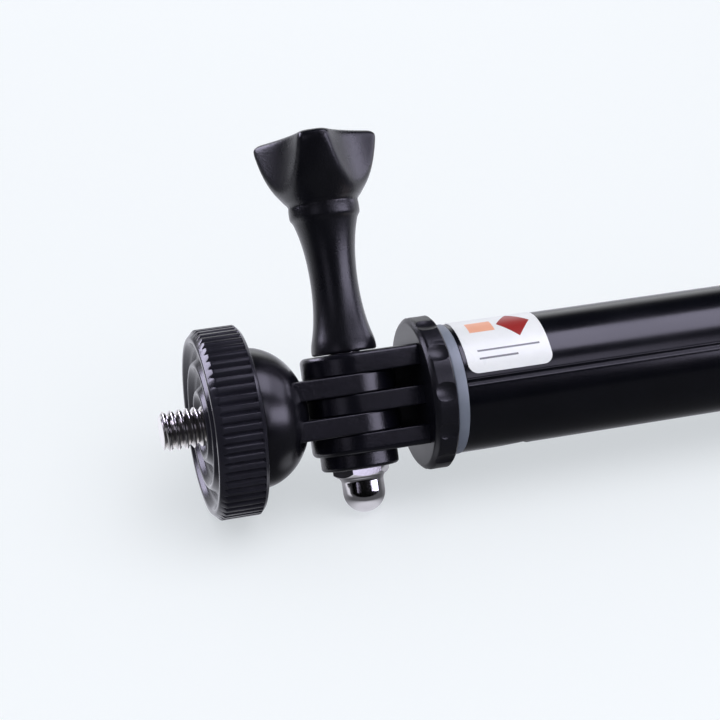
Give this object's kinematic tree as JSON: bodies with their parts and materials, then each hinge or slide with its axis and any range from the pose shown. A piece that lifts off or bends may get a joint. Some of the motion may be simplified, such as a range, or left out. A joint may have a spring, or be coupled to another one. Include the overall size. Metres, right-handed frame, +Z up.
{
  "type": "telescopic camera pole",
  "caption": "Collapsed twist-lock telescopic hand pole with a foam grip, a notched collar, a tilting fork joint with a lobed thumb screw, and a knurled wheel with a camera screw.",
  "frame": {"origin": "on the pole's axis, in the plane of the wheel's rim that the camera sits on", "axes": "+X along the pole from the camera end to the strap end; +Z up, the normal of the table it lies on"},
  "size_m": [0.2508, 0.0451, 0.0556],
  "materials": {
    "steel": "turned",
    "chrome": "polished",
    "black_gloss": "gloss moulded",
    "black_satin": "fine moulded grain",
    "grey_nylon": "smooth",
    "black_anodised": "satin anodised",
    "lock_metal": "turned",
    "foam": "closed-cell foam",
    "label_film": "satin film"
  },
  "bodies": {
    "handle": {"outer_tube": "black_anodised", "mouth_bush": "grey_nylon", "grip": "foam", "end_cap": "black_satin", "label": "label_film"},
    "wide_lock": {"wide_lock_sleeve": "grey_nylon"},
    "wide_section": {"wide_tube": "black_anodised", "wide_bush": "grey_nylon", "wide_lock_stud": "lock_metal"},
    "middle_lock": {"middle_lock_sleeve": "grey_nylon"},
    "middle_section": {"middle_tube": "black_anodised", "middle_bush": "grey_nylon", "middle_lock_stud": "lock_metal"},
    "slim_lock": {"slim_lock_sleeve": "grey_nylon"},
    "slim_section": {"slim_tube": "black_anodised", "slim_lock_stud": "lock_metal", "fork_head": "black_gloss", "spigot_pin": "steel", "cap_nut": "chrome"},
    "adapter": {"tilt_adapter": "black_gloss", "retainer_plate": "steel", "wheel_washer": "grey_nylon"},
    "wheel": {"camera_wheel": "black_satin", "camera_screw": "steel"},
    "thrust_washer": {"thumb_washer": "steel"},
    "thumb_screw": {"thumb_knob": "black_satin", "thumb_bolt": "steel"}
  },
  "joints": [
    {"name": "wide_slide", "type": "slide", "parent": "handle", "child": "wide_lock", "axis": [-1, 0, 0], "range_m": [0, 0.152]},
    {"name": "wide_twist", "type": "hinge", "parent": "wide_lock", "child": "wide_section", "pos_m": [0.2134, 0, 0], "axis": [-1, 0, 0], "range_deg": [0, 180]},
    {"name": "middle_slide", "type": "slide", "parent": "wide_section", "child": "middle_lock", "axis": [-1, 0, 0], "range_m": [0, 0.131]},
    {"name": "middle_twist", "type": "hinge", "parent": "middle_lock", "child": "middle_section", "pos_m": [0.1903, 0, 0], "axis": [-1, 0, 0], "range_deg": [0, 180]},
    {"name": "slim_slide", "type": "slide", "parent": "middle_section", "child": "slim_lock", "axis": [-1, 0, 0], "range_m": [0, 0.11]},
    {"name": "slim_twist", "type": "hinge", "parent": "slim_lock", "child": "slim_section", "pos_m": [0.1672, 0, 0], "axis": [-1, 0, 0], "range_deg": [0, 180]},
    {"name": "head_tilt", "type": "hinge", "parent": "slim_section", "child": "adapter", "pos_m": [0.0245, 0, 0], "axis": [0, 0.5505, 0.8348], "range_deg": [-90, 90]},
    {"name": "wheel_spin", "type": "hinge", "parent": "adapter", "child": "wheel", "pos_m": [0, 0, 0], "axis": [-1, 0, 0], "continuous": true},
    {"name": "thumb_travel", "type": "slide", "parent": "slim_section", "child": "thrust_washer", "axis": [0, 0.5505, 0.8348], "range_m": [0, 0.0024]},
    {"name": "thumb_turn", "type": "hinge", "parent": "thrust_washer", "child": "thumb_screw", "pos_m": [0.0245, 0, 0], "axis": [0, 0.5505, 0.8348], "range_deg": [0, 1081]}
  ],
  "couplings": [
    {"joint": "thumb_turn", "follows": "thumb_travel", "rad_per_m": 7854}
  ]
}
